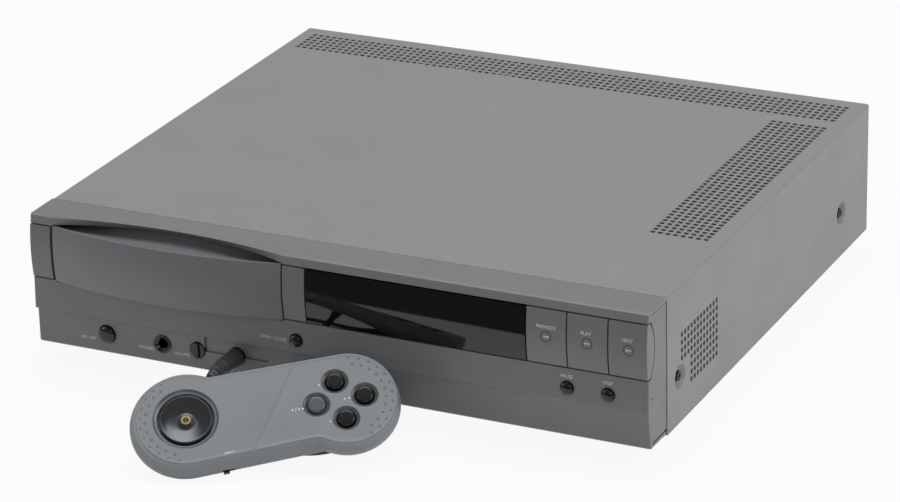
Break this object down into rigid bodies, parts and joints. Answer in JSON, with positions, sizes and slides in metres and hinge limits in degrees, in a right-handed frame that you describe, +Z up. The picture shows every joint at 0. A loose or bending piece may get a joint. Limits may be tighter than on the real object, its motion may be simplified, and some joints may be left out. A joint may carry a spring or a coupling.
{
  "type": "interactive disc player",
  "caption": "Low steel-cased disc player with a drawer, display window, keys and sockets, and a two-lobed hand pad on a coiled cord.",
  "frame": {"origin": "on the floor, under the middle of the whole without the cord and its plug", "axes": "+X to the right of someone facing the front, +Y towards the back, +Z up"},
  "size_m": [0.42, 0.513, 0.1],
  "materials": {
    "cover_paint": "semi-matt paint",
    "zinc_steel": "zinc plated",
    "back_paint": "matt",
    "visor_plastic": "satin paint",
    "fascia_plastic": "fine texture",
    "drawer_plastic": "fine texture",
    "smoked_window": "polished",
    "black_plastic": "satin",
    "black_gloss": "polished",
    "grey_gloss": "satin",
    "white_plastic": "natural",
    "pad_plastic": "fine texture",
    "black_rubber": "matt",
    "black_cord": "satin",
    "black_screw": "blackened",
    "circuit_board": "lacquered",
    "core_iron": "varnished",
    "motor_steel": "plated",
    "ground_steel": "ground",
    "socket_brass": "plated",
    "lens_glass": "polished",
    "tube_glass": "polished"
  },
  "bodies": {
    "console": {"top_cover": "cover_paint", "chassis_pan": "zinc_steel", "rear_panel": "back_paint", "visor": "visor_plastic", "lower_fascia": "fascia_plastic", "front_frame": "fascia_plastic", "display_window": "smoked_window", "phones_jack": "black_plastic", "controller_port": "black_plastic", "feet": "black_rubber", "cover_screws": "black_screw", "main_board": "circuit_board", "board_components": "black_plastic", "power_supply_board": "circuit_board", "transformer": "core_iron", "drive_chassis": "black_plastic", "loading_motor": "motor_steel", "drive_belt": "black_rubber", "clamp_bridge": "zinc_steel", "front_board": "circuit_board", "display_tube": "tube_glass", "front_controls": "black_plastic", "rear_jacks": "socket_brass", "mains_inlet": "black_plastic", "cord_plug": "black_rubber", "cord_lead": "black_cord", "cord_coil": "black_cord", "cord_tail": "black_cord"},
    "tray": {"disc_tray": "black_plastic", "drawer_front": "drawer_plastic"},
    "tray_gear": {"tray_gear": "white_plastic"},
    "pulley_gear": {"pulley_gear": "white_plastic"},
    "motor_pulley": {"motor_pulley": "white_plastic"},
    "traverse": {"traverse_deck": "zinc_steel", "sled_rails": "ground_steel", "spindle_motor": "motor_steel"},
    "turntable": {"turntable": "black_plastic"},
    "sled": {"laser_sled": "black_plastic", "pickup_lens": "lens_glass"},
    "clamp_puck": {"clamp_puck": "black_plastic"},
    "key_previous": {"key_previous": "fascia_plastic"},
    "key_play": {"key_play": "fascia_plastic"},
    "key_next": {"key_next": "fascia_plastic"},
    "button_power": {"button_power": "black_gloss"},
    "button_open_close": {"button_open_close": "black_gloss"},
    "button_pause": {"button_pause": "black_gloss"},
    "button_stop": {"button_stop": "black_gloss"},
    "volume_knob": {"volume_knob": "black_plastic"},
    "hand_pad": {"pad_top_shell": "pad_plastic", "pad_bottom_shell": "pad_plastic", "pad_board": "circuit_board", "pad_cord_relief": "black_rubber"},
    "pad_ball": {"pad_pivot_ball": "ground_steel"},
    "pad_disc": {"pad_disc": "black_gloss", "pad_disc_insert": "socket_brass"},
    "pad_button_top": {"pad_button_top": "black_gloss"},
    "pad_button_right": {"pad_button_right": "black_gloss"},
    "pad_button_bottom": {"pad_button_bottom": "black_gloss"},
    "pad_button_left": {"pad_button_left": "grey_gloss"},
    "pad_speed_switch": {"pad_speed_switch": "black_plastic"}
  },
  "joints": [
    {"name": "tray_slide", "type": "slide", "parent": "console", "child": "tray", "axis": [0, -1, 0], "range_m": [0, 0.145]},
    {"name": "tray_gear_spin", "type": "hinge", "parent": "console", "child": "tray_gear", "pos_m": [-0.06515, -0.09624, 0.055], "axis": [0, 0, 1], "range_deg": [-792, 0]},
    {"name": "pulley_gear_spin", "type": "hinge", "parent": "console", "child": "pulley_gear", "pos_m": [-0.0878, -0.09624, 0.055], "axis": [0, 0, 1], "range_deg": [0, 1583]},
    {"name": "motor_pulley_spin", "type": "hinge", "parent": "console", "child": "motor_pulley", "pos_m": [-0.1425, -0.09624, 0.048], "axis": [0, 0, 1], "range_deg": [0, 3544]},
    {"name": "deck_lift", "type": "hinge", "parent": "console", "child": "traverse", "pos_m": [-0.1125, 0.03876, 0.04675], "axis": [-1, 0, 0], "range_deg": [0, 6]},
    {"name": "turntable_spin", "type": "hinge", "parent": "traverse", "child": "turntable", "pos_m": [-0.1125, -0.05427, 0.06126], "axis": [0, -0.1045, 0.9945], "continuous": true},
    {"name": "sled_slide", "type": "slide", "parent": "traverse", "child": "sled", "axis": [0, 0.9945, 0.1045], "range_m": [0, 0.034]},
    {"name": "clamp_puck_spin", "type": "hinge", "parent": "console", "child": "clamp_puck", "pos_m": [-0.1125, -0.05224, 0.086], "axis": [0, 0, 1], "continuous": true},
    {"name": "key_previous_press", "type": "slide", "parent": "console", "child": "key_previous", "axis": [0, 1, 0], "range_m": [0, 0.0006], "stiffness_N_per_m": 2500},
    {"name": "key_play_press", "type": "slide", "parent": "console", "child": "key_play", "axis": [0, 1, 0], "range_m": [0, 0.0006], "stiffness_N_per_m": 2500},
    {"name": "key_next_press", "type": "slide", "parent": "console", "child": "key_next", "axis": [0, 1, 0], "range_m": [0, 0.0006], "stiffness_N_per_m": 2500},
    {"name": "button_power_press", "type": "slide", "parent": "console", "child": "button_power", "axis": [0, 1, 0], "range_m": [0, 0.0008], "stiffness_N_per_m": 2000},
    {"name": "button_open_close_press", "type": "slide", "parent": "console", "child": "button_open_close", "axis": [0, 1, 0], "range_m": [0, 0.0008], "stiffness_N_per_m": 2000},
    {"name": "button_pause_press", "type": "slide", "parent": "console", "child": "button_pause", "axis": [0, 1, 0], "range_m": [0, 0.0008], "stiffness_N_per_m": 2000},
    {"name": "button_stop_press", "type": "slide", "parent": "console", "child": "button_stop", "axis": [0, 1, 0], "range_m": [0, 0.0008], "stiffness_N_per_m": 2000},
    {"name": "volume_turn", "type": "hinge", "parent": "console", "child": "volume_knob", "pos_m": [-0.0948, -0.13024, 0.0254], "axis": [0, -1, 0], "range_deg": [-150, 150]},
    {"name": "pad_lift", "type": "slide", "parent": "console", "child": "hand_pad", "axis": [0.64, -0.6, 0.48], "range_m": [0, 0.085]},
    {"name": "pad_disc_tilt_long", "type": "hinge", "parent": "hand_pad", "child": "pad_ball", "pos_m": [-0.04849, -0.22603, 0.02371], "axis": [0.8528, 0.5173, 0.0712], "range_deg": [-4.5, 4.5], "stiffness_Nm_per_rad": 0.3},
    {"name": "pad_disc_tilt_cross", "type": "hinge", "parent": "pad_ball", "child": "pad_disc", "pos_m": [-0.04849, -0.22603, 0.02371], "axis": [-0.4471, 0.6528, 0.6115], "range_deg": [-4.5, 4.5], "stiffness_Nm_per_rad": 0.3},
    {"name": "pad_button_top_press", "type": "slide", "parent": "hand_pad", "child": "pad_button_top", "axis": [-0.2699, 0.5534, -0.788], "range_m": [0, 0.0012], "stiffness_N_per_m": 700},
    {"name": "pad_button_right_press", "type": "slide", "parent": "hand_pad", "child": "pad_button_right", "axis": [-0.2699, 0.5534, -0.788], "range_m": [0, 0.0012], "stiffness_N_per_m": 700},
    {"name": "pad_button_bottom_press", "type": "slide", "parent": "hand_pad", "child": "pad_button_bottom", "axis": [-0.2699, 0.5534, -0.788], "range_m": [0, 0.0012], "stiffness_N_per_m": 700},
    {"name": "pad_button_left_press", "type": "slide", "parent": "hand_pad", "child": "pad_button_left", "axis": [-0.2699, 0.5534, -0.788], "range_m": [0, 0.0012], "stiffness_N_per_m": 700},
    {"name": "pad_speed_slide", "type": "slide", "parent": "hand_pad", "child": "pad_speed_switch", "axis": [0.8115, 0.5712, 0.1232], "range_m": [0, 0.0034]}
  ],
  "couplings": [
    {"joint": "tray_gear_spin", "follows": "tray_slide", "rad_per_m": -95.238},
    {"joint": "pulley_gear_spin", "follows": "tray_slide", "rad_per_m": 190.48},
    {"joint": "motor_pulley_spin", "follows": "tray_slide", "rad_per_m": 426.46}
  ]
}
